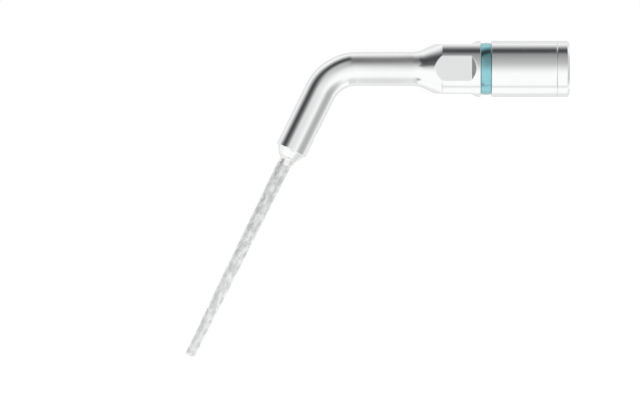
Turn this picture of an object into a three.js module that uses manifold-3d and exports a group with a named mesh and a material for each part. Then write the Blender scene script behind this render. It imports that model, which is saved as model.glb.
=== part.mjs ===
// Dental ultrasonic scaler tip for root-canal work, as it would come apart on a bench: a turned,
// milled and bent steel body, a coloured ring in its groove, and a diamond-coated needle brazed
// into the nose. Millimetres, +Z up.
//
// The origin is the centre of the rear seat face, which screws up against the handpiece. +X points
// out of the rear, the body runs towards -X, and the bend lies in the plane Y = 0.
//
// Each piece is first made straight, as the blank is turned, in "stations": millimetres from the
// rear face along the axis. bendBlank then wraps it round the bend.

import * as THREE from 'three';
import { mergeVertices } from 'three/addons/utils/BufferGeometryUtils.js';
import Module from 'manifold-3d';

const wasm = await Module();
wasm.setup();

// ---- Driving dimensions ----

const baseRadius = 2.68;
const flatsAcross = 4.74;
const neckRadius = 1.63;
const tubeRadius = 1.53;
const bendRadius = 4.0;
const bendAngle = THREE.MathUtils.degToRad(63.7);
const cornerStation = 22.96; // where the axes of the neck and of the tube would cross

// Rear end and threaded socket. The bore stands for an M3 thread at its mean diameter.
const rearChamfer = 0.2;
const socketRadius = 1.37;
const socketDepth = 5.5;
const socketMouthRadius = 1.62;
const drillPointAngle = THREE.MathUtils.degToRad(59);

// A fine turned line near the rear edge
const lineStation = 1.19;
const lineWidth = 0.12;
const lineDepth = 0.025;

// Groove and its coloured ring
const grooveStart = 7.52;
const grooveEnd = 8.58;
const grooveRadius = 2.1;
const ringRadius = 2.51;
const ringCrown = 0.05; // how far the ring's middle stands above its edges

// Wrench flats. Each one ends in a slanting wall, which meets the base's surface at wallStart.
const wallStart = 8.94;
const flatsStart = 9.5;
const coneStart = 12.3;
const coneEnd = 14.6;
const coneBlend = 0.5; // how far the soft corner at the neck reaches each way along the axis

// Water channel, which leaves on the inside of the bend
const channelRadius = 0.4;
const outletRadius = 0.32;
const outletAngle = THREE.MathUtils.degToRad(45);
const channelEndPastCorner = 5.4;

// Nose, braze and needle, as distances past the corner
const noseStart = 8.5;
const noseEnd = 9.56;
const noseShoulder = 0.25; // axial length of the rounded shoulder
const noseEndRadius = 0.93;
const shankDepth = 2.4;
const brazeEnd = 10.33;
const brazeTipRadius = 0.7;
const needleEnd = 30.85;
const coatStartRadius = 0.68;
const coatTipRadius = 0.507;
const coatThickness = 0.1;

const bluntShare = 1 / 3; // share of the needle's radius that its end rounds off

const clearance = 0.02; // between pieces that touch on the real tip
const mergeDistance = 1e-5;

const baseSegments = 64;
const needleSegments = 32;
const drillSegments = 20;
const bendSteps = 14;
const arcSteps = 5;

// ---- The bent axis ----

const tangentLength = bendRadius * Math.tan(bendAngle / 2);
const bendStart = cornerStation - tangentLength;
const bendEnd = bendStart + bendRadius * bendAngle;

function pastCorner(distance) {
  return bendEnd + distance - tangentLength;
}

// Moves a point of the straight blank, given by its station and its height above the axis
function bentPoint(station, height) {
  const angle = THREE.MathUtils.clamp((station - bendStart) / bendRadius, 0, bendAngle);
  const before = Math.min(station, bendStart);
  const after = Math.max(station - bendEnd, 0);
  const reach = bendRadius + height;
  return {
    x: -before - reach * Math.sin(angle) - after * Math.cos(angle),
    z: -bendRadius + reach * Math.cos(angle) - after * Math.sin(angle),
  };
}

function bendBlank(geometry) {
  const position = geometry.attributes.position;
  for (let i = 0; i < position.count; i++) {
    const point = bentPoint(-position.getX(i), position.getZ(i));
    position.setX(i, point.x);
    position.setZ(i, point.z);
  }
  return geometry;
}

// ---- Solids ----

// A turned blank along -X from points of [radius, station]
function turned(profile, segments) {
  const points = profile.map(([radius, station]) => new THREE.Vector2(radius, station));
  return new THREE.LatheGeometry(points, segments).rotateZ(Math.PI / 2);
}

function toSolid(geometry) {
  const bare = geometry.clone();
  bare.deleteAttribute('normal');
  bare.deleteAttribute('uv');
  const merged = mergeVertices(bare, mergeDistance);
  const index = merged.index.array;
  const triangles = [];
  for (let i = 0; i < index.length; i += 3) {
    const [a, b, c] = index.slice(i, i + 3);
    if (a !== b && b !== c && c !== a) triangles.push(a, b, c);
  }
  return new wasm.Manifold(new wasm.Mesh({
    numProp: 3,
    vertProperties: new Float32Array(merged.attributes.position.array),
    triVerts: new Uint32Array(triangles),
  }));
}

function toGeometry(solid) {
  const mesh = solid.getMesh();
  const geometry = new THREE.BufferGeometry();
  geometry.setAttribute('position', new THREE.BufferAttribute(mesh.vertProperties, 3));
  geometry.setIndex(new THREE.BufferAttribute(mesh.triVerts, 1));
  geometry.computeVertexNormals();
  return geometry;
}

// Points of [radius, station] on a quarter-ellipse between two corners of a profile. The curve
// leaves `from` along the axis when alongFirst is true, and square to the axis when it is false.
function quarterRound(from, to, alongFirst) {
  const points = [];
  for (let i = 0; i <= arcSteps; i++) {
    const angle = (i / arcSteps) * (Math.PI / 2);
    const rise = alongFirst ? 1 - Math.cos(angle) : Math.sin(angle);
    const run = alongFirst ? Math.sin(angle) : 1 - Math.cos(angle);
    points.push([from[0] + (to[0] - from[0]) * rise, from[1] + (to[1] - from[1]) * run]);
  }
  return points;
}

// Points through the bend, where the radius changes evenly from one end to the other
function throughBend(startRadius, endRadius) {
  const points = [];
  for (let i = 0; i <= bendSteps; i++) {
    const share = i / bendSteps;
    points.push([
      THREE.MathUtils.lerp(startRadius, endRadius, share),
      THREE.MathUtils.lerp(bendStart, bendEnd, share),
    ]);
  }
  return points;
}

// ---- Body ----

function channelAndSocket() {
  const drillPoint = (socketRadius - channelRadius) / Math.tan(drillPointAngle);
  return [
    [0, pastCorner(channelEndPastCorner)],
    [channelRadius, pastCorner(channelEndPastCorner)],
    ...throughBend(channelRadius, channelRadius).reverse(),
    [channelRadius, socketDepth + drillPoint],
    [socketRadius, socketDepth],
    [socketRadius, socketMouthRadius - socketRadius],
    [socketMouthRadius, 0],
  ];
}

function baseOutline() {
  return [
    [baseRadius - rearChamfer, 0],
    [baseRadius, rearChamfer],
    [baseRadius, lineStation - lineWidth / 2],
    [baseRadius - lineDepth, lineStation],
    [baseRadius, lineStation + lineWidth / 2],
    [baseRadius, grooveStart],
    [grooveRadius, grooveStart],
    [grooveRadius, grooveEnd],
    [baseRadius, grooveEnd],
    [baseRadius, coneStart],
  ];
}

// The soft corner is a quadratic curve that touches the cone at one end and the neck at the other
function coneCorner() {
  const slope = (baseRadius - neckRadius) / (coneEnd - coneStart);
  const points = [];
  for (let i = 0; i <= arcSteps; i++) {
    const share = i / arcSteps;
    const station = coneEnd - coneBlend + 2 * coneBlend * share;
    const left = 1 - share;
    points.push([neckRadius + slope * coneBlend * left * left, station]);
  }
  return points;
}

function noseOutline() {
  const shoulderRadius = tubeRadius - noseShoulder / 2;
  return [
    ...quarterRound(
      [tubeRadius, pastCorner(noseStart)],
      [shoulderRadius, pastCorner(noseStart + noseShoulder)],
      true,
    ),
    [noseEndRadius, pastCorner(noseEnd)],
  ];
}

function shankBore() {
  const radius = coatStartRadius - coatThickness;
  return [
    [radius, pastCorner(noseEnd)],
    [radius, pastCorner(noseEnd - shankDepth)],
    [0, pastCorner(noseEnd - shankDepth)],
  ];
}

// What the cutter takes away over one flat: a prism across the base, whose rear face is the wall
function flatWaste() {
  const halfFlat = flatsAcross / 2;
  const beyond = 1.5 * baseRadius;
  const slant = (flatsStart - wallStart) / (baseRadius - halfFlat);
  const side = new THREE.Shape([
    new THREE.Vector2(-flatsStart, halfFlat),
    new THREE.Vector2(-coneEnd, halfFlat),
    new THREE.Vector2(-coneEnd, beyond),
    new THREE.Vector2(-flatsStart + (beyond - halfFlat) * slant, beyond),
  ]);
  const prism = new THREE.ExtrudeGeometry(side, { depth: 2 * beyond, bevelEnabled: false });
  return prism.translate(0, 0, -beyond);
}

function millingWaste() {
  const prisms = [];
  for (let quarter = 0; quarter < 4; quarter++) {
    prisms.push(toSolid(flatWaste().rotateX(quarter * Math.PI / 2)));
  }
  return wasm.Manifold.union(prisms);
}

function waterOutlet() {
  const length = 2 * tubeRadius / Math.cos(outletAngle);
  const drill = new THREE.CylinderGeometry(outletRadius, outletRadius, length, drillSegments);
  drill.translate(0, -length / 2, 0);
  drill.rotateX(Math.PI / 2);
  drill.rotateY(outletAngle);
  drill.translate(-pastCorner(channelEndPastCorner - outletRadius), 0, 0);
  return toSolid(bendBlank(drill));
}

function bodyGeometry() {
  const blank = turned([
    ...channelAndSocket(),
    ...baseOutline(),
    ...coneCorner(),
    ...throughBend(neckRadius, tubeRadius),
    ...noseOutline(),
    ...shankBore(),
  ], baseSegments);
  const body = toSolid(bendBlank(blank));
  return toGeometry(body.subtract(millingWaste()).subtract(waterOutlet()));
}

// ---- Coloured ring ----

function ringGeometry() {
  const inner = grooveRadius + clearance;
  const start = grooveStart + clearance;
  const end = grooveEnd - clearance;
  const crown = [];
  for (let i = 0; i <= arcSteps; i++) {
    const across = (2 * i) / arcSteps - 1;
    const station = THREE.MathUtils.lerp(start, end, i / arcSteps);
    crown.push([ringRadius - ringCrown * across * across, station]);
  }
  const profile = [[inner, end], [inner, start], ...crown, [inner, end]];
  return toGeometry(toSolid(turned(profile, baseSegments)));
}

// ---- Needle, coat and braze ----

const coreRadius = coatStartRadius - coatThickness - clearance;
const coreTipRadius = coatTipRadius - coatThickness - clearance;
const coreEnd = needleEnd - coatThickness - clearance;
const coatStart = brazeEnd + clearance;

function bluntEnd(radius, end) {
  const round = radius * bluntShare;
  return [
    ...quarterRound([radius, pastCorner(end - round)], [radius - round, pastCorner(end)], true),
    [0, pastCorner(end)],
  ];
}

function needleGeometry() {
  const rear = noseEnd - shankDepth + clearance;
  const blank = turned([
    [0, pastCorner(rear)],
    [coreRadius, pastCorner(rear)],
    [coreRadius, pastCorner(coatStart)],
    ...bluntEnd(coreTipRadius, coreEnd),
  ], needleSegments);
  return toGeometry(toSolid(bendBlank(blank)));
}

function coatGeometry() {
  const inside = [
    [coreRadius + clearance, pastCorner(coatStart)],
    ...bluntEnd(coreTipRadius + clearance, coreEnd + clearance),
  ].reverse();
  const blank = turned([
    ...inside,
    [coatStartRadius, pastCorner(coatStart)],
    ...bluntEnd(coatTipRadius, needleEnd),
  ], needleSegments);
  return toGeometry(toSolid(bendBlank(blank)));
}

function brazeGeometry() {
  const inner = coreRadius + clearance;
  const rear = noseEnd + clearance;
  const foot = [noseEndRadius - clearance, pastCorner(rear)];
  const fillet = quarterRound(foot, [brazeTipRadius, pastCorner(brazeEnd)], false);
  const profile = [[inner, pastCorner(brazeEnd)], [inner, pastCorner(rear)], ...fillet];
  const blank = turned([...profile, profile[0]], needleSegments);
  return toGeometry(toSolid(bendBlank(blank)));
}

// ---- Materials and assembly ----

const polishedSteel = new THREE.MeshStandardMaterial({ color: 0xd9dcde, metalness: 1, roughness: 0.12 });
const ringLacquer = new THREE.MeshStandardMaterial({ color: 0x52adb5, metalness: 1, roughness: 0.2 });
const needleSteel = new THREE.MeshStandardMaterial({ color: 0xb9bcbe, metalness: 1, roughness: 0.35 });
const diamondGrit = new THREE.MeshStandardMaterial({ color: 0xcfd1d2, metalness: 0.6, roughness: 0.7 });
const brazeMetal = new THREE.MeshStandardMaterial({ color: 0xdcdcd6, metalness: 1, roughness: 0.25 });

function piece(name, geometry, material) {
  const mesh = new THREE.Mesh(geometry, material);
  mesh.name = name;
  return mesh;
}

const scalerTip = new THREE.Group();
scalerTip.add(
  piece('tip_body', bodyGeometry(), polishedSteel),
  piece('colour_ring', ringGeometry(), ringLacquer),
  piece('needle_core', needleGeometry(), needleSteel),
  piece('diamond_coat', coatGeometry(), diamondGrit),
  piece('braze_joint', brazeGeometry(), brazeMetal),
);

export default scalerTip;
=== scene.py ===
"""Looks of a dental ultrasonic scaler tip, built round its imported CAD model.

The tip is one turned, milled and bent steel body with a lacquered colour ring in its groove and a
diamond-coated needle brazed into its nose. As on the lathe, each piece is first shaped straight, in
millimetres of (station, across, height): station runs from the rear face along the axis, across is
+Y, and height is square to both. bent() then wraps it round the bend into the CAD's frame.
"""

import math

import bpy
import numpy as np
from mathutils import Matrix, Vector, noise


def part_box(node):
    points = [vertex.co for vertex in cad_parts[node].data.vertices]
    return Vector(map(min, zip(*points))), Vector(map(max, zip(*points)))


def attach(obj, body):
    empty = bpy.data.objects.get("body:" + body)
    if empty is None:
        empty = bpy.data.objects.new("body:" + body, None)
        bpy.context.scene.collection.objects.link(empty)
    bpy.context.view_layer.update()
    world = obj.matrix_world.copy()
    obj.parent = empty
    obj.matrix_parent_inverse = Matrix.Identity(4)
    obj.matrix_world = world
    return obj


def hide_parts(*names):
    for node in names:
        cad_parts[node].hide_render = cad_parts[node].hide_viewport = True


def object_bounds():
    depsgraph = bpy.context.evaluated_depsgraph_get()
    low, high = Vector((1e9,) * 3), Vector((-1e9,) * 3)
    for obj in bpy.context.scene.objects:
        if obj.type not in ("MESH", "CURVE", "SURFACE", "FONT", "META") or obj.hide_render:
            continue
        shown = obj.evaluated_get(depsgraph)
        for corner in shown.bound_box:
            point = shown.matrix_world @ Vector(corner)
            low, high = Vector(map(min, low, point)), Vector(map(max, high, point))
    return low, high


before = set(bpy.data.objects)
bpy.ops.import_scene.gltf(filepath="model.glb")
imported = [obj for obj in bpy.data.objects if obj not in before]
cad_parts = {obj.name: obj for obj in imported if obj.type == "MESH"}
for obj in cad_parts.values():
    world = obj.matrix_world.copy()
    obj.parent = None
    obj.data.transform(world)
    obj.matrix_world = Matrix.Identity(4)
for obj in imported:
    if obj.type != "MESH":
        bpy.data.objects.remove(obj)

MM = 0.001
CAD_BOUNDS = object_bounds()
BODY = "root"


# ---- Sizes, in millimetres ----


def box_mm(node):
    """Lowest and highest corner of a CAD node, in millimetres."""
    low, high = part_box(node)
    return low / MM, high / MM


body_high = box_mm("tip_body")[1]
ring_low, ring_high = box_mm("colour_ring")
object_low, object_high = (corner / MM for corner in CAD_BOUNDS)

CLEARANCE = 0.02  # between pieces that touch on the real tip
SEAM = 0.004  # between the nose and the braze, which wets it
BASE_RADIUS = body_high.z
HALF_FLAT = 2.37
NECK_RADIUS = 1.63
TUBE_RADIUS = 1.53
BEND_RADIUS = 4.0
BEND_ANGLE = math.radians(63.7)
CORNER_STATION = 22.96  # where the axes of the neck and of the tube would cross

REAR_CHAMFER = 0.2
SOCKET_DEPTH = 5.5
SOCKET_MOUTH_RADIUS = 1.62
DRILL_POINT_ANGLE = math.radians(59)
THREAD_MINOR_RADIUS = 1.23
THREAD_MAJOR_RADIUS = 1.5
THREAD_PITCH = 0.5
THREAD_LENGTH = 4.7

LINE_STATION = 1.19  # a fine turned line near the rear edge
LINE_WIDTH = 0.12
LINE_DEPTH = 0.025

GROOVE_START = -ring_high.x - CLEARANCE
GROOVE_END = -ring_low.x + CLEARANCE
GROOVE_RADIUS = 2.1
RING_RADIUS = ring_high.z
RING_CROWN = 0.05

WALL_START = 8.94  # a slanting wall drops from here to the start of each flat
FLATS_START = 9.5
CONE_START = 12.3
CONE_END = 14.6

CHANNEL_RADIUS = 0.4
OUTLET_RADIUS = 0.32
OUTLET_ANGLE = math.radians(45)
CHANNEL_END = 5.4  # past the corner, as are the starts and ends of all that follows here

NOSE_START = 8.5
NOSE_END = 9.56
NOSE_SHOULDER = 0.25  # length of the rounded shoulder between the tube and the nose
NOSE_END_RADIUS = 0.93
SHANK_DEPTH = 2.4  # of the bore that holds the needle's shank, from the nose's end
BRAZE_END = 10.33
BRAZE_TIP_RADIUS = 0.7
NEEDLE_END = 30.85
COAT_START_RADIUS = 0.68
COAT_TIP_RADIUS = 0.507
COAT_THICKNESS = 0.1
BLUNT_SHARE = 1 / 3  # share of the needle's radius that its end rounds off

TANGENT_LENGTH = BEND_RADIUS * math.tan(BEND_ANGLE / 2)
BEND_START = CORNER_STATION - TANGENT_LENGTH
BEND_END = BEND_START + BEND_RADIUS * BEND_ANGLE


def past_corner(distance):
    """Station of a point that far past the corner of the two axes."""
    return BEND_END + distance - TANGENT_LENGTH


CORE_RADIUS = COAT_START_RADIUS - COAT_THICKNESS - CLEARANCE
CORE_TIP_RADIUS = COAT_TIP_RADIUS - COAT_THICKNESS - CLEARANCE
CORE_END = NEEDLE_END - COAT_THICKNESS - CLEARANCE
COAT_START = BRAZE_END + CLEARANCE


# ---- The bent axis ----


def bent(blank):
    """Wraps points [..., 3] of the straight blank round the bend."""
    station, across, height = np.moveaxis(blank, -1, 0)
    angle = np.clip((station - BEND_START) / BEND_RADIUS, 0, BEND_ANGLE)
    before = np.minimum(station, BEND_START)
    after = np.maximum(station - BEND_END, 0)
    reach = BEND_RADIUS + height
    x = -before - reach * np.sin(angle) - after * np.cos(angle)
    z = -BEND_RADIUS + reach * np.cos(angle) - after * np.sin(angle)
    return np.stack([x, across, z], -1)


def straightened(points):
    """The other way: points [..., 3] of the bent tip back to the straight blank."""
    x, across, z = np.moveaxis(points, -1, 0)
    ahead = -x - BEND_START
    above = z + BEND_RADIUS
    angle = np.arctan2(ahead, above)
    turn = np.clip(angle, 0, BEND_ANGLE)
    reach = ahead * np.sin(turn) + above * np.cos(turn)
    along = ahead * np.cos(turn) - above * np.sin(turn)
    station = BEND_START + BEND_RADIUS * turn + along
    return np.stack([station, across, reach - BEND_RADIUS], -1)


# ---- Profiles: lists of (station, radius) ----

CORNER_STEPS = 5  # in a corner of no size, and one more for each STEP_SETBACK of its setback
STEP_SETBACK = 0.07
HOLD = 0.025  # distance of the extra point that keeps a soft corner's shading off the long face


def towards(start, end, distance):
    """The point that far from start on the way to end."""
    start, end = np.array(start), np.array(end)
    return start + (end - start) * distance / np.linalg.norm(end - start)


def softened(corners):
    """Points through corners (station, radius, setback), each rounded by a curve that leaves the
    profile that far before the corner and joins it as far after."""
    points = [corners[0][:2]]
    for before, corner, after in zip(corners, corners[1:], corners[2:]):
        middle, setback = np.array(corner[:2]), corner[2]
        if setback == 0:
            points.append(middle)
            continue
        start = towards(middle, before[:2], setback)
        end = towards(middle, after[:2], setback)
        points.append(towards(middle, before[:2], setback + HOLD))
        for share in np.linspace(0, 1, CORNER_STEPS + round(setback / STEP_SETBACK)):
            left = 1 - share
            points.append(start * left**2 + middle * 2 * left * share + end * share**2)
        points.append(towards(middle, after[:2], setback + HOLD))
    points.append(corners[-1][:2])
    return np.array(points, float)


def refined(points, longest):
    """The same profile with no step longer than longest(station)."""
    made = [points[0]]
    for start, end in zip(points, points[1:]):
        length = np.linalg.norm(end - start)
        done = 0
        while done < length:
            station = start[0] + (end[0] - start[0]) * done / length
            done = min(done + longest(station), length)
            made.append(start + (end - start) * done / length)
    return np.array(made)


def blunt_end(radius, end):
    """Corners of the needle's rounded end, which stops on the axis."""
    setback = radius * BLUNT_SHARE
    return [(past_corner(end), radius, setback), (past_corner(end), 0)]


# ---- Meshes ----


def new_piece(name, points, faces):
    """A mesh object from points [n, 3] in millimetres of the CAD's frame."""
    mesh = bpy.data.meshes.new(name)
    mesh.from_pydata((np.asarray(points) * MM).tolist(), [], faces)
    mesh.update()
    piece = bpy.data.objects.new(name, mesh)
    bpy.context.scene.collection.objects.link(piece)
    return piece


def grid_faces(rows, columns, closed):
    """Quads between rows of points round the axis, facing out where the profile runs forward."""
    row, column = np.meshgrid(
        np.arange(rows if closed else rows - 1), np.arange(columns), indexing="ij"
    )
    next_row, next_column = (row + 1) % rows, (column + 1) % columns
    corners = [
        row * columns + column,
        row * columns + next_column,
        next_row * columns + next_column,
        next_row * columns + column,
    ]
    return np.stack(corners, -1).reshape(-1, 4).tolist()


def capped_faces(rows, columns):
    """Quads between open rows of points, and a fan at each end to the two points that follow."""
    faces = grid_faces(rows, columns, False)
    first, last = rows * columns, rows * columns + 1
    end = (rows - 1) * columns
    for i in range(columns):
        j = (i + 1) % columns
        faces.append([first, j, i])
        faces.append([last, end + i, end + j])
    return faces


def angles_of(columns):
    """Even angles once round."""
    return np.arange(columns) * 2 * math.pi / columns


def around_axis(station, radius, angle):
    """Points of the straight blank; angle 0 is +height and a quarter turn is +across."""
    return np.stack([station, radius * np.sin(angle), radius * np.cos(angle)], -1)


def turned(name, profile, columns, radius_at=None):
    """A solid of revolution, bent. A profile that starts and ends on the axis gets a point there,
    and any other closes on itself. radius_at changes the radius by station and angle."""
    on_axis = profile[0][1] == 0
    rings = profile[1:-1] if on_axis else profile[:-1]
    angle = np.broadcast_to(angles_of(columns), (len(rings), columns))
    station = np.broadcast_to(rings[:, :1], angle.shape)
    radius = np.broadcast_to(rings[:, 1:], angle.shape)
    if radius_at:
        radius = radius_at(station, radius, angle)
    points = around_axis(station, radius, angle).reshape(-1, 3)
    if not on_axis:
        return new_piece(name, bent(points), grid_faces(len(rings), columns, True))
    poles = [[profile[0][0], 0, 0], [profile[-1][0], 0, 0]]
    points = np.concatenate([points, poles])
    return new_piece(name, bent(points), capped_faces(len(rings), columns))


def cut(piece, *tools):
    """Takes the tools away from the piece and removes them."""
    for tool in tools:
        modifier = piece.modifiers.new("cut", "BOOLEAN")
        modifier.operation = "DIFFERENCE"
        modifier.solver = "EXACT"
        modifier.object = tool
    graph = bpy.context.evaluated_depsgraph_get()
    made = bpy.data.meshes.new_from_object(piece.evaluated_get(graph), depsgraph=graph)
    piece.modifiers.clear()
    piece.data = made
    for tool in tools:
        bpy.data.objects.remove(tool)


SHARP_ANGLE = math.radians(32)


def finish_piece(piece, node, material):
    """Smooth shading with crisp edges, the straight blank's coordinates, and the frame's calls."""
    mesh = piece.data
    mesh.materials.clear()
    mesh.materials.append(material)
    mesh.shade_smooth()
    mesh.set_sharp_from_angle(angle=SHARP_ANGLE)
    points = np.empty(len(mesh.vertices) * 3, np.float32)
    mesh.vertices.foreach_get("co", points)
    blank = straightened(points.reshape(-1, 3).astype(float) / MM)
    attribute = mesh.attributes.new("blank", "FLOAT_VECTOR", "POINT")
    attribute.data.foreach_set("vector", blank.astype(np.float32).ravel())
    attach(piece, BODY)
    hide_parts(node)
    return piece


# ---- Body ----

BODY_COLUMNS = 304
BORE_COLUMNS = 72
FLAT_EDGE = 0.03  # softness of the edges that the cutter leaves
FLATS_RUN_OUT = 0.9  # a little more than the flats reach down the cone
BEYOND = 0.4  # how far a tool reaches past the face that it cuts

# Longest steps along the outside
FLATS_STEP = 0.05
BEND_STEP = 0.12
PLAIN_STEP = 0.6


def body_corners():
    """Corners (station, radius, setback) of the outside, from the axis at the rear to the nose."""
    shoulder_radius = TUBE_RADIUS - NOSE_SHOULDER / 2
    shoulder_end = past_corner(NOSE_START + NOSE_SHOULDER)
    return [
        (0, 0),
        (0, BASE_RADIUS - REAR_CHAMFER, 0.03),
        (REAR_CHAMFER, BASE_RADIUS, 0.04),
        (LINE_STATION - LINE_WIDTH / 2, BASE_RADIUS, 0.012),
        (LINE_STATION, BASE_RADIUS - LINE_DEPTH, 0.012),
        (LINE_STATION + LINE_WIDTH / 2, BASE_RADIUS, 0.012),
        (GROOVE_START, BASE_RADIUS, 0.035),
        (GROOVE_START, GROOVE_RADIUS, 0.03),
        (GROOVE_END, GROOVE_RADIUS, 0.03),
        (GROOVE_END, BASE_RADIUS, 0.035),
        (CONE_START, BASE_RADIUS, 0.08),
        (CONE_END, NECK_RADIUS, 0.5),
        (BEND_START, NECK_RADIUS, 0.4),
        (BEND_END, TUBE_RADIUS, 0.4),
        (shoulder_end, TUBE_RADIUS, 0.1),
        (shoulder_end, shoulder_radius, 0.02),
        (past_corner(NOSE_END), NOSE_END_RADIUS, 0.06),
        (past_corner(NOSE_END), 0),
    ]


def body_step(station):
    """Longest step along the outside: fine along the flats and round the bend."""
    if GROOVE_END < station < CONE_START + FLATS_RUN_OUT:
        return FLATS_STEP
    if BEND_START < station < BEND_END:
        return BEND_STEP
    return PLAIN_STEP


def soft_minimum(a, b, softness):
    """The smaller of the two, with a small round where they cross."""
    near = np.clip(softness - np.abs(a - b), 0, None) / softness
    return np.minimum(a, b) - near**2 * softness / 4


def milled(station, radius, angle):
    """The radius left by the four flats and by the slanting wall that each one ends in."""
    slope = (BASE_RADIUS - HALF_FLAT) / (FLATS_START - WALL_START)
    wall = BASE_RADIUS - (station - WALL_START) * slope
    level = -soft_minimum(-wall, np.full_like(wall, -HALF_FLAT), FLAT_EDGE)
    square = level / np.maximum(np.abs(np.cos(angle)), np.abs(np.sin(angle)))
    return soft_minimum(radius, square, FLAT_EDGE)


BORE_BEND_STEP = 0.3
BORE_STEP = 30  # longer than any straight part of the bore, so these aren't divided


def bore_tool():
    """Socket, drill point and water channel, as one turned tool."""
    mouth_length = SOCKET_MOUTH_RADIUS - THREAD_MINOR_RADIUS
    point_length = (THREAD_MINOR_RADIUS - CHANNEL_RADIUS) / math.tan(DRILL_POINT_ANGLE)
    channel_end = past_corner(CHANNEL_END)
    profile = refined(
        np.array([
            (-BEYOND, 0),
            (-BEYOND, SOCKET_MOUTH_RADIUS + BEYOND),
            (mouth_length, THREAD_MINOR_RADIUS),
            (SOCKET_DEPTH, THREAD_MINOR_RADIUS),
            (SOCKET_DEPTH + point_length, CHANNEL_RADIUS),
            (BEND_START, CHANNEL_RADIUS),
            (BEND_END, CHANNEL_RADIUS),
            (channel_end, CHANNEL_RADIUS),
            (channel_end + CHANNEL_RADIUS / math.tan(DRILL_POINT_ANGLE), 0),
        ], float),
        lambda station: BORE_BEND_STEP if BEND_START < station < BEND_END else BORE_STEP,
    )
    return turned("bore_tool", profile, BORE_COLUMNS)


THREAD_STEPS = 60  # in each turn
THREAD_CREST_SHARE = 0.25  # of the pitch, flat between two grooves
THREAD_ROOT_SHARE = 0.125  # of the pitch, flat at a groove's bottom
THREAD_TOOL_DEPTH = 0.1  # how far the cutting V reaches in from the socket's wall
WIDEST_SHARE = 0.98  # of the pitch, so that neighbouring turns of the V don't touch
LEAST_HEIGHT = 0.02  # of the V at its very end


def thread_section(centre):
    """Corners (offset along, radius) of the cutting V, whose middle is at station centre."""
    inside = THREAD_MINOR_RADIUS - THREAD_TOOL_DEPTH
    depth = THREAD_MAJOR_RADIUS - THREAD_MINOR_RADIUS
    root = THREAD_ROOT_SHARE * THREAD_PITCH / 2
    mouth = (1 - THREAD_CREST_SHARE) * THREAD_PITCH / 2
    flare = mouth + (mouth - root) * THREAD_TOOL_DEPTH / depth
    flare = min(flare, WIDEST_SHARE * THREAD_PITCH / 2)
    rise = np.clip((centre - (THREAD_LENGTH - THREAD_PITCH)) / THREAD_PITCH, 0, 1)
    outside = THREAD_MAJOR_RADIUS - (THREAD_MAJOR_RADIUS - inside - LEAST_HEIGHT) * rise
    return [(-flare, inside), (-root, outside), (root, outside), (flare, inside)]


def thread_tool():
    """A right-hand V that winds into the socket, and rises out of the wall over its last turn."""
    turns = (THREAD_LENGTH + BEYOND) / THREAD_PITCH
    steps = round(turns * THREAD_STEPS)
    angle = np.arange(steps + 1) * 2 * math.pi / THREAD_STEPS
    centre = -BEYOND + angle / (2 * math.pi) * THREAD_PITCH
    section = thread_section(centre)
    rings = [around_axis(centre + along, radius + 0 * angle, angle) for along, radius in section]
    points = np.stack(rings, 1).reshape(-1, 3)
    count = len(section)
    faces = [list(range(count)), [steps * count + i for i in range(count)][::-1]]
    for step in range(steps):
        for i in range(count):
            j = (i + 1) % count
            start, end = step * count, (step + 1) * count
            faces.append([start + j, start + i, end + i, end + j])
    return new_piece("thread_tool", bent(points), faces)


def shank_tool():
    """The bore in the nose that the needle's shank is brazed into."""
    start = past_corner(NOSE_END - SHANK_DEPTH)
    end = past_corner(NOSE_END) + BEYOND
    radius = CORE_RADIUS + CLEARANCE
    profile = np.array([(start, 0), (start, radius), (end, radius), (end, 0)], float)
    return turned("shank_tool", profile, BORE_COLUMNS)


def outlet_tool():
    """The slanting water outlet on the inside of the bend."""
    length = 2 * TUBE_RADIUS / math.cos(OUTLET_ANGLE)
    angle = angles_of(BORE_COLUMNS)
    rings = [around_axis(along + 0 * angle, OUTLET_RADIUS, angle) for along in (0, length)]
    straight = np.concatenate([*rings, [[0, 0, 0], [length, 0, 0]]])
    # The drill's own axis leans from the tube's axis towards the concave side.
    lean = np.array([
        [math.cos(OUTLET_ANGLE), 0, -math.sin(OUTLET_ANGLE)],
        [0, 1, 0],
        [math.sin(OUTLET_ANGLE), 0, math.cos(OUTLET_ANGLE)],
    ])
    points = straight @ lean
    points[:, 0] += past_corner(CHANNEL_END - OUTLET_RADIUS)
    return new_piece("outlet_tool", bent(points), capped_faces(len(rings), BORE_COLUMNS))


def make_body(material):
    """The turned and milled blank with its bores cut out."""
    profile = refined(softened(body_corners()), body_step)
    body = turned("tip_body_fine", profile, BODY_COLUMNS, milled)
    cut(body, bore_tool(), thread_tool(), outlet_tool(), shank_tool())
    return finish_piece(body, "tip_body", material)


# ---- Colour ring ----

RING_COLUMNS = 256
RING_EDGE = 0.045  # softness of the crown's two edges
RING_INNER_EDGE = 0.03
CROWN_POINTS = 9  # across the crown, both edges included


def make_ring(material):
    """A crowned ring of lacquered metal with soft edges."""
    inner = GROOVE_RADIUS + CLEARANCE
    start, end = GROOVE_START + CLEARANCE, GROOVE_END - CLEARANCE
    shoulder = RING_RADIUS - RING_CROWN
    crown = []
    for across in np.linspace(-1, 1, CROWN_POINTS)[1:-1]:
        station = (start + end) / 2 + across * (end - start) / 2
        crown.append((station, RING_RADIUS - RING_CROWN * across**2, 0))
    corners = [
        ((start + end) / 2, inner),
        (start, inner, RING_INNER_EDGE),
        (start, shoulder, RING_EDGE),
        *crown,
        (end, shoulder, RING_EDGE),
        (end, inner, RING_INNER_EDGE),
        ((start + end) / 2, inner),
    ]
    ring = turned("colour_ring_fine", softened(corners), RING_COLUMNS)
    return finish_piece(ring, "colour_ring", material)


# ---- Needle, its coat and the braze ----

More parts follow.
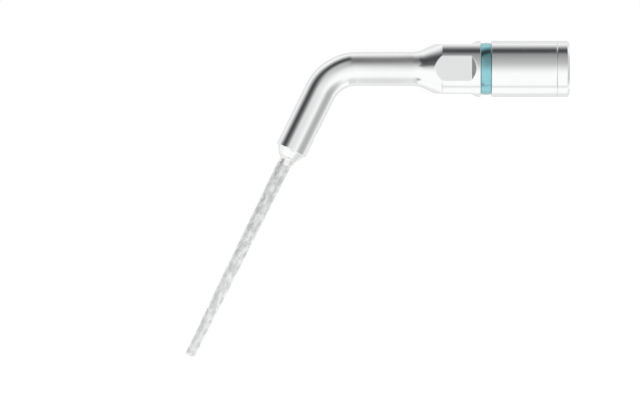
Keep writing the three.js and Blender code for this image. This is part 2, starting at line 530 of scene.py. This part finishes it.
CORE_COLUMNS = 64
BOND_COLUMNS = 84
BOND_STEP = 0.06
BOND_DEPTH = 0.04  # how far the plating lies below the tops of the crystals
GRAIN_SPACING = 0.097
GRAIN_SIZES = (0.03, 0.052)  # least and greatest radius of a crystal
GRAIN_SEED = 11
SHANK_CHAMFER = (0.12, 0.06)  # length and depth, at the shank's hidden end


def make_core(material):
    """The needle itself: a straight shank, then a taper to the blunt end."""
    rear = past_corner(NOSE_END - SHANK_DEPTH + CLEARANCE)
    corners = [
        (rear, 0),
        (rear, CORE_RADIUS - SHANK_CHAMFER[1], 0.01),
        (rear + SHANK_CHAMFER[0], CORE_RADIUS, 0.03),
        (past_corner(COAT_START), CORE_RADIUS, 0.4),
        *blunt_end(CORE_TIP_RADIUS, CORE_END),
    ]
    core = turned("needle_core_fine", refined(softened(corners), lambda _: 1.0), CORE_COLUMNS)
    return finish_piece(core, "needle_core", material)


def ripple(points, size, height, seed):
    """Smooth seeded noise of that feature size and height at points [n, 3]."""
    offset = Vector((seed, seed, seed))
    values = [noise.noise(Vector(point) / size + offset) for point in points.tolist()]
    return height * np.array(values)


def lumpy(station, radius, angle):
    """Plating that builds up in small nodules, on the outside only."""
    points = around_axis(station, radius, angle).reshape(-1, 3)
    lumps = ripple(points, 0.11, 0.009, 3) + ripple(points, 0.5, 0.018, 7)
    outer = coat_radius(station) - BOND_DEPTH
    share = np.clip((radius - outer + COAT_THICKNESS / 4) / (COAT_THICKNESS / 4), 0, 1)
    return radius + lumps.reshape(radius.shape) * share


def coat_radius(station):
    """Radius over the tops of the crystals."""
    start, end = past_corner(COAT_START), past_corner(NEEDLE_END)
    share = (station - start) / (end - start)
    return COAT_START_RADIUS + (COAT_TIP_RADIUS - COAT_START_RADIUS) * share


def make_bond(material):
    """The nickel plating that holds the crystals, as a sleeve closed round the needle's end."""
    start = past_corner(COAT_START)
    gap = CLEARANCE
    outside = softened([
        (start, CORE_RADIUS + gap, 0),
        (start, COAT_START_RADIUS - BOND_DEPTH, 0.02),
        *blunt_end(COAT_TIP_RADIUS - BOND_DEPTH, NEEDLE_END - BOND_DEPTH),
    ])
    inside = softened([
        (start, CORE_RADIUS + gap, 0),
        *blunt_end(CORE_TIP_RADIUS + gap, CORE_END + gap),
    ])[::-1]
    long_inside = refined(inside, lambda _: 2.0)
    profile = np.concatenate([long_inside[:-1], refined(outside, lambda _: BOND_STEP)])
    bond = turned("nickel_bond", profile, BOND_COLUMNS, lumpy)
    return finish_piece(bond, "diamond_coat", material)


def grain_shape():
    """Corners and faces of a cuboctahedron, the blocky habit of synthetic diamond grit."""
    signs = (-1, 1)
    corners = [(a, b, 0) for a in signs for b in signs]
    corners += [(a, 0, b) for a in signs for b in signs]
    corners += [(0, a, b) for a in signs for b in signs]
    corners = np.array(corners, float) / math.sqrt(2)
    directions = [(a, b, c) for a in signs for b in signs for c in signs]
    directions += [tuple(s * unit) for s in signs for unit in np.eye(3)]
    faces = []
    for direction in np.array(directions, float):
        reach = corners @ direction
        on_face = np.flatnonzero(reach > reach.max() - 1e-6)
        centre = corners[on_face].mean(0)
        side = corners[on_face[0]] - centre
        other = np.cross(direction, side)
        spoke = corners[on_face] - centre
        order = np.argsort(np.arctan2(spoke @ other / np.linalg.norm(direction), spoke @ side))
        faces.append(on_face[order].tolist())
    return corners, faces


def random_turns(chance, count):
    """That many random rotation matrices."""
    quaternion = chance.normal(size=(count, 4))
    w, x, y, z = (quaternion / np.linalg.norm(quaternion, axis=1, keepdims=True)).T
    rows = [
        [1 - 2 * (y * y + z * z), 2 * (x * y - z * w), 2 * (x * z + y * w)],
        [2 * (x * y + z * w), 1 - 2 * (x * x + z * z), 2 * (y * z - x * w)],
        [2 * (x * z - y * w), 2 * (y * z + x * w), 1 - 2 * (x * x + y * y)],
    ]
    return np.moveaxis(np.array(rows), -1, 0)


def grain_places(chance):
    """Places of the crystals on the straight blank, in loose rows along the coat's outline."""
    outline = refined(
        softened([
            (past_corner(COAT_START) + 0.03, COAT_START_RADIUS, 0),
            *blunt_end(COAT_TIP_RADIUS, NEEDLE_END),
        ]),
        lambda _: GRAIN_SPACING / 2,
    )
    lengths = np.linalg.norm(np.diff(outline, axis=0), axis=1)
    distance = np.concatenate([[0], np.cumsum(lengths)])
    places = []
    for row in np.arange(0, distance[-1], GRAIN_SPACING):
        radius = np.interp(row, distance, outline[:, 1])
        count = max(1, round(2 * math.pi * radius / GRAIN_SPACING))
        angle = (np.arange(count) + chance.uniform(-0.4, 0.4, count)) * 2 * math.pi / count
        angle += chance.uniform(0, 2 * math.pi)
        along = row + chance.uniform(-0.45, 0.45, count) * GRAIN_SPACING
        station = np.interp(along, distance, outline[:, 0])
        places.append(around_axis(station, np.interp(along, distance, outline[:, 1]), angle))
    return np.concatenate(places)


def make_grains(material):
    """Diamond crystals, each its own closed solid, sunk about half-way into the plating."""
    chance = np.random.default_rng(GRAIN_SEED)
    places = grain_places(chance)
    thinning = ripple(places, 0.5, 1.0, 5)
    places = places[thinning > -0.28 + chance.uniform(-0.1, 0.1, len(places))]
    count = len(places)
    corners, shape_faces = grain_shape()
    size = chance.uniform(*GRAIN_SIZES, count)
    stretch = chance.uniform(0.75, 1.15, (count, 1, 3))
    local = corners * stretch * (1 + chance.uniform(-0.12, 0.12, (count, len(corners), 1)))
    local = np.einsum("nij,nkj->nki", random_turns(chance, count), local)
    out = places * (0, 1, 1)
    out /= np.linalg.norm(out, axis=1, keepdims=True) + 1e-9
    sunk = places - out * (size * chance.uniform(0.8, 1.25, count))[:, None]
    points = sunk[:, None, :] + local * size[:, None, None]
    first = np.arange(count) * len(corners)
    faces = [[start + i for i in face] for start in first.tolist() for face in shape_faces]
    grains = new_piece("diamond_grit", bent(points.reshape(-1, 3)), faces)
    return finish_piece(grains, "diamond_coat", material)


BRAZE_COLUMNS = 128
FILLET_POINTS = 18
BRAZE_LEAN = 0.11  # how much fuller the fillet is on the concave side


def flowed(station, radius, angle):
    """Braze that has run a little further up one side than another."""
    points = around_axis(station, radius, angle).reshape(-1, 3)
    rear, end = past_corner(NOSE_END), past_corner(BRAZE_END)
    share = np.clip((station - rear) / (end - rear), 0, 1)
    inner = CORE_RADIUS + CLEARANCE
    free = np.clip((radius - inner) / (BRAZE_TIP_RADIUS - inner), 0, 1) * share * (1 - share) * 4
    waves = ripple(points, 0.6, 0.045, 13).reshape(radius.shape)
    return radius + (waves - BRAZE_LEAN * np.cos(angle)) * free


def make_braze(material):
    """The fillet of braze between the nose and the needle."""
    inner = CORE_RADIUS + CLEARANCE
    rear, end = past_corner(NOSE_END + SEAM), past_corner(BRAZE_END)
    foot = NOSE_END_RADIUS - CLEARANCE
    fillet = [
        (rear + (end - rear) * (1 - math.cos(a)), foot + (BRAZE_TIP_RADIUS - foot) * math.sin(a))
        for a in np.linspace(0, math.pi / 2, FILLET_POINTS)
    ]
    profile = np.array([(end, inner), (rear, inner), *fillet, (end, inner)], float)
    braze = turned("braze_joint_fine", profile, BRAZE_COLUMNS, flowed)
    return finish_piece(braze, "braze_joint", material)


# ---- Node arithmetic ----


class Value:
    """A socket of one number in a node tree, with arithmetic that adds Math nodes."""

    def __init__(self, tree, socket):
        self.tree = tree
        self.socket = socket

    def math(self, operation, *others):
        node = self.tree.nodes.new("ShaderNodeMath")
        node.operation = operation
        for plug, value in zip(node.inputs, (self, *others)):
            feed(self.tree, plug, value)
        return Value(self.tree, node.outputs[0])

    def __add__(self, other):
        return self.math("ADD", other)

    def __sub__(self, other):
        return self.math("SUBTRACT", other)

    def __mul__(self, other):
        return self.math("MULTIPLY", other)

    def __truediv__(self, other):
        return self.math("DIVIDE", other)

    def __neg__(self):
        return self * -1

    def __abs__(self):
        return self.math("ABSOLUTE")

    def smaller(self, other):
        return self.math("MINIMUM", other)

    def step(self, start, end):
        """0 before start, 1 after end, and a smooth rise between. Start may be the larger."""
        node = self.tree.nodes.new("ShaderNodeMapRange")
        node.interpolation_type = "SMOOTHSTEP"
        feed(self.tree, node.inputs["Value"], self)
        feed(self.tree, node.inputs["From Min"], start)
        feed(self.tree, node.inputs["From Max"], end)
        return Value(self.tree, node.outputs["Result"])

    def between(self, low, high):
        """low where this is 0 and high where it is 1."""
        node = self.tree.nodes.new("ShaderNodeMix")
        node.data_type = "FLOAT"
        for plug, value in zip(node.inputs[:1] + node.inputs[2:4], (self, low, high)):
            feed(self.tree, plug, value)
        return Value(self.tree, node.outputs[0])


def feed(tree, plug, value):
    """Links a Value or socket into an input, or sets a plain number or colour there."""
    if isinstance(value, Value):
        tree.links.new(value.socket, plug)
    elif isinstance(value, bpy.types.NodeSocket):
        tree.links.new(value, plug)
    else:
        plug.default_value = value


def split(tree, vector):
    """The three parts of a vector socket, as Values."""
    node = tree.nodes.new("ShaderNodeSeparateXYZ")
    tree.links.new(vector, node.inputs[0])
    return [Value(tree, plug) for plug in node.outputs]


def dot(parts, numbers):
    """The dot product of three Values with three numbers."""
    return parts[0] * numbers[0] + parts[1] * numbers[1] + parts[2] * numbers[2]


def stretched(tree, vector, scales):
    """The vector with each part multiplied by its own scale."""
    node = tree.nodes.new("ShaderNodeVectorMath")
    node.operation = "MULTIPLY"
    tree.links.new(vector, node.inputs[0])
    node.inputs[1].default_value = scales
    return node.outputs[0]


def noise_of(tree, vector, scale=1.0, detail=2.0, roughness=0.5):
    """Smooth noise of 0 to 1 over the vector."""
    node = tree.nodes.new("ShaderNodeTexNoise")
    tree.links.new(vector, node.inputs["Vector"])
    node.inputs["Scale"].default_value = scale
    node.inputs["Detail"].default_value = detail
    node.inputs["Roughness"].default_value = roughness
    return Value(tree, node.outputs[0])


def mixed_colour(tree, share, low, high):
    """The colour low where share is 0 and high where it is 1."""
    node = tree.nodes.new("ShaderNodeMix")
    node.data_type = "RGBA"
    feed(tree, node.inputs[0], share)
    feed(tree, node.inputs[6], low)
    feed(tree, node.inputs[7], high)
    return node.outputs[2]


def bumped(tree, height, depth):
    """A normal from a height of 0 to 1 that stands for that depth in millimetres."""
    node = tree.nodes.new("ShaderNodeBump")
    node.inputs["Strength"].default_value = 1.0
    node.inputs["Distance"].default_value = depth * MM
    feed(tree, node.inputs["Height"], height)
    return node.outputs[0]


def new_material(name):
    """A material's tree, its Principled node, and the straight blank's coordinates in mm."""
    material = bpy.data.materials.new(name)
    material.use_nodes = True
    tree = material.node_tree
    shader = next(node for node in tree.nodes if node.type == "BSDF_PRINCIPLED")
    attribute = tree.nodes.new("ShaderNodeAttribute")
    attribute.attribute_name = "blank"
    return material, tree, shader, attribute.outputs["Vector"]


# ---- Materials ----


def steel_finish():
    """Mirror-polished stainless steel with faint turning marks, hairlines and smears. The neck is
    a little rougher, and the turned line is greyed with painted shade."""
    material, tree, shader, blank = new_material("polished_steel")
    station = split(tree, blank)[0]
    turning = noise_of(tree, stretched(tree, blank, (14, 0.5, 0.5)), detail=4, roughness=0.6)
    hairlines = noise_of(tree, stretched(tree, blank, (2, 26, 26)), detail=3).step(0.66, 0.74)
    cross_lines = noise_of(tree, stretched(tree, blank, (40, 1.5, 1.5)), detail=2).step(0.68, 0.76)
    waviness = noise_of(tree, blank, scale=0.9, detail=2)
    smears = noise_of(tree, blank, scale=1.7, detail=5, roughness=0.7).step(0.45, 0.75)
    scratches = (hairlines + cross_lines) * 0.5
    brushed_neck = station.step(CONE_END, CONE_END + 1) * station.step(BEND_START, BEND_START - 2)
    roughness = smears * 0.04 + scratches * 0.06 + brushed_neck * 0.08 + 0.15
    # Painted shade: a grey tint down the middle of the turned line, where shade falls in the groove.
    painted_line_shade = abs(station - LINE_STATION).step(LINE_WIDTH * 0.45, LINE_WIDTH * 0.2) * 0.2
    colour = mixed_colour(tree, painted_line_shade, (0.87, 0.873, 0.876, 1), (0.42, 0.43, 0.44, 1))
    relief = turning * 0.35 + waviness * 2.2 - scratches * 0.4
    feed(tree, shader.inputs["Metallic"], 1.0)
    feed(tree, shader.inputs["Base Color"], colour)
    feed(tree, shader.inputs["Roughness"], roughness)
    feed(tree, shader.inputs["Normal"], bumped(tree, relief, 0.0006))
    return material


def ring_finish():
    """Clear turquoise lacquer over bright metal, a little deeper in colour towards its edges."""
    material, tree, shader, blank = new_material("ring_turquoise")
    station = split(tree, blank)[0]
    middle, half = (GROOVE_START + GROOVE_END) / 2, (GROOVE_END - GROOVE_START) / 2
    edge = abs(station - middle).step(half * 0.55, half)
    cloud = noise_of(tree, blank, scale=1.6, detail=4).step(0.3, 0.7)
    colour = mixed_colour(
        tree, edge * 0.5 + cloud * 0.3, (0.27, 0.57, 0.61, 1), (0.18, 0.45, 0.52, 1)
    )
    peel = noise_of(tree, blank, scale=7, detail=2)
    brushing = noise_of(tree, stretched(tree, blank, (22, 0.6, 0.6)), detail=3)
    feed(tree, shader.inputs["Metallic"], 1.0)
    feed(tree, shader.inputs["Base Color"], colour)
    feed(tree, shader.inputs["Roughness"], brushing * 0.12 + 0.1)
    feed(tree, shader.inputs["Normal"], bumped(tree, peel + brushing * 0.5, 0.001))
    shader.inputs["Coat Weight"].default_value = 0.35
    shader.inputs["Coat Roughness"].default_value = 0.05
    return material


def core_finish():
    """Ground steel wire, with its grinding marks round the axis."""
    material, tree, shader, blank = new_material("needle_steel")
    grinding = noise_of(tree, stretched(tree, blank, (30, 1.2, 1.2)), detail=4, roughness=0.65)
    stain = noise_of(tree, blank, scale=1.3, detail=3)
    colour = mixed_colour(tree, stain, (0.72, 0.73, 0.74, 1), (0.62, 0.62, 0.62, 1))
    feed(tree, shader.inputs["Metallic"], 1.0)
    feed(tree, shader.inputs["Base Color"], colour)
    feed(tree, shader.inputs["Roughness"], grinding * 0.25 + 0.2)
    feed(tree, shader.inputs["Normal"], bumped(tree, grinding, 0.002))
    return material


def coat_patches(tree, blank):
    """About 0 to 1, more where the coat is thinner and greyer: over soft flecks half a millimetre
    long, and towards the nose."""
    flecks = noise_of(tree, stretched(tree, blank, (1.5, 2.4, 2.4)), detail=1).step(0.36, 0.64)
    station = split(tree, blank)[0]
    near_nose = station.step(past_corner(NEEDLE_END), past_corner(COAT_START))
    return flecks * 0.7 + near_nose * 0.5 - 0.2


def bond_finish():
    """Electroplated nickel: satin, finely nodular, greyer where the coat is thin."""
    material, tree, shader, blank = new_material("nickel_bond")
    nodules = noise_of(tree, blank, scale=24, detail=4, roughness=0.6)
    patches = coat_patches(tree, blank)
    colour = mixed_colour(tree, patches, (0.98, 0.985, 0.985, 1), (0.66, 0.67, 0.675, 1))
    feed(tree, shader.inputs["Metallic"], 0.5)
    feed(tree, shader.inputs["Base Color"], colour)
    feed(tree, shader.inputs["Roughness"], nodules * 0.2 + 0.35)
    feed(tree, shader.inputs["Normal"], bumped(tree, nodules, 0.012))
    return material


def grit_finish():
    """Diamond crystals with plating over part of their faces: pale, partly bright."""
    material, tree, shader, blank = new_material("diamond_grit")
    each = noise_of(tree, blank, scale=11, detail=1).step(0.35, 0.65)
    plated = noise_of(tree, blank, scale=30, detail=2).step(0.4, 0.6)
    shade = each * 0.3 + coat_patches(tree, blank) * 0.7
    colour = mixed_colour(tree, shade, (1, 1, 0.995, 1), (0.7, 0.71, 0.71, 1))
    feed(tree, shader.inputs["Metallic"], plated * 0.25 + 0.1)
    feed(tree, shader.inputs["Base Color"], colour)
    feed(tree, shader.inputs["Roughness"], each * 0.2 + 0.3)
    feed(tree, shader.inputs["Normal"], bumped(tree, plated, 0.003))
    return material


def braze_finish():
    """Bright silver braze: satin, faintly rippled where it froze."""
    material, tree, shader, blank = new_material("braze_metal")
    ripples = noise_of(tree, stretched(tree, blank, (9, 3, 3)), detail=3)
    stain = noise_of(tree, blank, scale=2.4, detail=3).step(0.4, 0.75)
    colour = mixed_colour(tree, stain, (0.93, 0.928, 0.92, 1), (0.84, 0.837, 0.825, 1))
    feed(tree, shader.inputs["Metallic"], 0.85)
    feed(tree, shader.inputs["Base Color"], colour)
    feed(tree, shader.inputs["Roughness"], ripples * 0.2 + 0.3)
    feed(tree, shader.inputs["Normal"], bumped(tree, ripples, 0.006))
    return material


def floor_finish():
    """A plain white floor that the studio light keeps bright."""
    material, tree, shader, _ = new_material("studio_floor")
    feed(tree, shader.inputs["Base Color"], (0.85, 0.85, 0.85, 1))
    feed(tree, shader.inputs["Roughness"], 0.9)
    feed(tree, shader.inputs["Emission Color"], (1, 1, 1, 1))
    feed(tree, shader.inputs["Emission Strength"], 0.55)
    return material


# ---- Studio ----

WHITE = 1.13  # brightness of the tent, against a background of 1
STRIP_NORMAL = (0.384, -0.907, -0.176)  # of the plane that the dark strip lies in
RIGHT_PATCH = (0.85, -0.3, -0.42)  # towards a small grey patch on the right
LOW_PATCH = (-0.295, -0.2, -0.934)  # towards a still smaller one below
DARK_TINT = (0.93, 1.0, 1.03, 1)  # of the tent's darkest parts


def dark_strip(x, y, z):
    """Brightness of a dark strip that runs overhead, and down on the left."""
    off_strip = abs(dot((x, y, z), STRIP_NORMAL)) / x.step(-0.5, -0.8).between(1, 1.3)
    far_left = x.step(-0.72, -0.84)
    reach = z.step(far_left.between(-0.2, -0.45), far_left.between(0.45, 0.138)) * x.step(0.55, 0.2)
    return reach.between(1.2, off_strip.step(0.05, 0.72).between(0.07, 1.1))


def tent_brightness(x, y, z):
    """Brightness of the light tent by direction, from Values of a unit vector."""
    shade = z.step(-0.45, 0.6).between(WHITE, 0.5) - z.step(0.5, 1) * 0.2
    front = y.step(0.1, -0.1).between(WHITE, shade + x.step(0, -0.25) * 0.1)
    back = y.step(0.4, 0.7).between(WHITE, 0.9) - y.step(0.92, 0.99) * 0.35
    left = (z.step(0, 0.3) * y.step(-0.1, -0.4) * x.step(-0.1, -0.75)).between(WHITE, 0.12)
    right = x.step(0.7, 0.95).between(WHITE, 0.7)
    right_patch = dot((x, y, z), RIGHT_PATCH).step(0.7, 1.02).between(WHITE, 0.48)
    low_patch = dot((x, y, z), LOW_PATCH).step(0.965, 0.995).between(WHITE, 0.5)
    seam = (abs(y + 0.15).step(0.14, 0.02) * z.step(-0.75, -0.9)).between(WHITE, 0.85)
    darkest = dark_strip(x, y, z)
    for other in (front, back, left, right, right_patch, low_patch, seam):
        darkest = darkest.smaller(other)
    return darkest


def make_world():
    """The tent lights the tip, and its steel mirrors it. The camera sees plain white."""
    world = bpy.data.worlds.new("studio")
    bpy.context.scene.world = world
    world.use_nodes = True
    tree = world.node_tree
    tree.nodes.clear()
    direction = tree.nodes.new("ShaderNodeTexCoord").outputs["Generated"]
    brightness = tent_brightness(*split(tree, direction))
    tinted = mixed_colour(tree, brightness.step(0, 0.35), DARK_TINT, (1, 1, 1, 1))
    lit = tree.nodes.new("ShaderNodeBackground")
    feed(tree, lit.inputs["Color"], tinted)
    feed(tree, lit.inputs["Strength"], brightness)
    seen = tree.nodes.new("ShaderNodeBackground")
    either = tree.nodes.new("ShaderNodeMixShader")
    path = tree.nodes.new("ShaderNodeLightPath")
    output = tree.nodes.new("ShaderNodeOutputWorld")
    seen.inputs["Color"].default_value = (1, 1, 1, 1)
    tree.links.new(path.outputs["Is Camera Ray"], either.inputs[0])
    tree.links.new(lit.outputs[0], either.inputs[1])
    tree.links.new(seen.outputs[0], either.inputs[2])
    tree.links.new(either.outputs[0], output.inputs["Surface"])


FLOOR_HALF_WIDTH = 600
FLOOR_GAP = 0.4


def make_floor():
    """A wide floor just under the needle's end. The steel doesn't mirror it."""
    half, level = FLOOR_HALF_WIDTH, object_low.z - FLOOR_GAP
    corners = [(-half, -half, level), (half, -half, level), (half, half, level), (-half, half, level)]
    floor = new_piece("studio_floor", corners, [[0, 1, 2, 3]])
    floor.data.materials.append(floor_finish())
    floor.visible_glossy = False


FILL_FROM = (-0.8, -0.3, 0.5)
FILL_STRENGTH = 0.7
FILL_ANGLE = math.radians(60)


def make_fill():
    """A soft light from the upper left for the rough coat. The steel doesn't mirror it."""
    light = bpy.data.lights.new("fill", "SUN")
    light.energy = FILL_STRENGTH
    light.angle = FILL_ANGLE
    fill = bpy.data.objects.new("fill", light)
    fill.rotation_euler = Vector(FILL_FROM).to_track_quat("Z", "Y").to_euler()
    fill.visible_glossy = False
    bpy.context.scene.collection.objects.link(fill)


# Two curved grey cards stand close to the neck and show only in reflections. A card's ends are along
# x. Its band is in degrees up from the front round the neck's axis: the card is pale at the first and
# last angle, and darkest between the other two.
CARD_WHITE = 1.02
CARD_COLUMNS = 90
NECK_CARD_RADIUS = 20
NECK_CARD_ENDS = (-23.6, -14.4)
NECK_CARD_BAND = (-8, 55, 62, 112)
NECK_CARD_DARKEST = 0.2
UNDER_CARD_RADIUS = 28
UNDER_CARD_ENDS = (-20.9, -14.4)
UNDER_CARD_BAND = (-138, -100, -83, -56)
UNDER_CARD_DARKEST = 0.8


def smooth_rise(values, start, end):
    """0 at start, 1 at end, and a smooth rise between. Start may be the larger."""
    share = np.clip((values - start) / (end - start), 0, 1)
    return share**2 * (3 - 2 * share)


def card_finish():
    """A glow of each point's own tone."""
    material = bpy.data.materials.new("studio_card")
    material.use_nodes = True
    tree = material.node_tree
    tree.nodes.clear()
    reader = tree.nodes.new("ShaderNodeAttribute")
    reader.attribute_name = "tone"
    glow = tree.nodes.new("ShaderNodeEmission")
    output = tree.nodes.new("ShaderNodeOutputMaterial")
    tree.links.new(reader.outputs["Fac"], glow.inputs["Strength"])
    tree.links.new(glow.outputs[0], output.inputs["Surface"])
    return material


def make_card(name, radius, ends, band, darkest, material):
    """A card that curves round the neck's axis, with a dark band along it."""
    degrees = np.linspace(band[0], band[-1], CARD_COLUMNS)
    angle = np.radians(degrees)
    rows = [
        np.stack([np.full_like(angle, x), -radius * np.cos(angle), radius * np.sin(angle)], -1)
        for x in ends
    ]
    faces = [[i, i + 1, CARD_COLUMNS + i + 1, CARD_COLUMNS + i] for i in range(CARD_COLUMNS - 1)]
    card = new_piece(name, np.concatenate(rows), faces)
    depth = smooth_rise(degrees, band[0], band[1]) * smooth_rise(degrees, band[3], band[2])
    tone = CARD_WHITE + (darkest - CARD_WHITE) * depth
    attribute = card.data.attributes.new("tone", "FLOAT", "POINT")
    attribute.data.foreach_set("value", np.tile(tone, len(rows)).astype(np.float32))
    card.data.materials.append(material)
    card.visible_camera = False
    card.visible_diffuse = False
    card.visible_shadow = False


def make_cards(material):
    """One card that darkens the neck's upper half, and a paler one for its lower edge."""
    make_card(
        "neck_card", NECK_CARD_RADIUS, NECK_CARD_ENDS, NECK_CARD_BAND, NECK_CARD_DARKEST, material
    )
    make_card(
        "under_card", UNDER_CARD_RADIUS, UNDER_CARD_ENDS, UNDER_CARD_BAND, UNDER_CARD_DARKEST,
        material,
    )


SENSOR = 36.0
CAMERA_DISTANCE = 1000.0
VIEW_WIDTH = 61.76  # width of what the picture takes in
VIEW_OFFSET = (-5.55, 0, -0.86)  # of the picture's middle from the object's
CLIP_START = 0.1  # metres, as is CLIP_END
CLIP_END = 10


def make_camera():
    """A level camera in front, with a long lens."""
    lens = bpy.data.cameras.new("camera")
    lens.sensor_width = SENSOR
    lens.lens = SENSOR * CAMERA_DISTANCE / VIEW_WIDTH
    lens.clip_start = CLIP_START
    lens.clip_end = CLIP_END
    camera = bpy.data.objects.new("camera", lens)
    bpy.context.scene.collection.objects.link(camera)
    middle = (object_low + object_high) / 2 + Vector(VIEW_OFFSET)
    camera.location = (middle - Vector((0, CAMERA_DISTANCE, 0))) * MM
    camera.rotation_euler = (math.pi / 2, 0, 0)
    bpy.context.scene.camera = camera


# ---- Scene ----

make_world()
make_floor()
make_fill()
make_cards(card_finish())
make_camera()
make_body(steel_finish())
make_ring(ring_finish())
make_core(core_finish())
make_bond(bond_finish())
make_grains(grit_finish())
make_braze(braze_finish())
bpy.context.scene.view_settings.view_transform = "Standard"
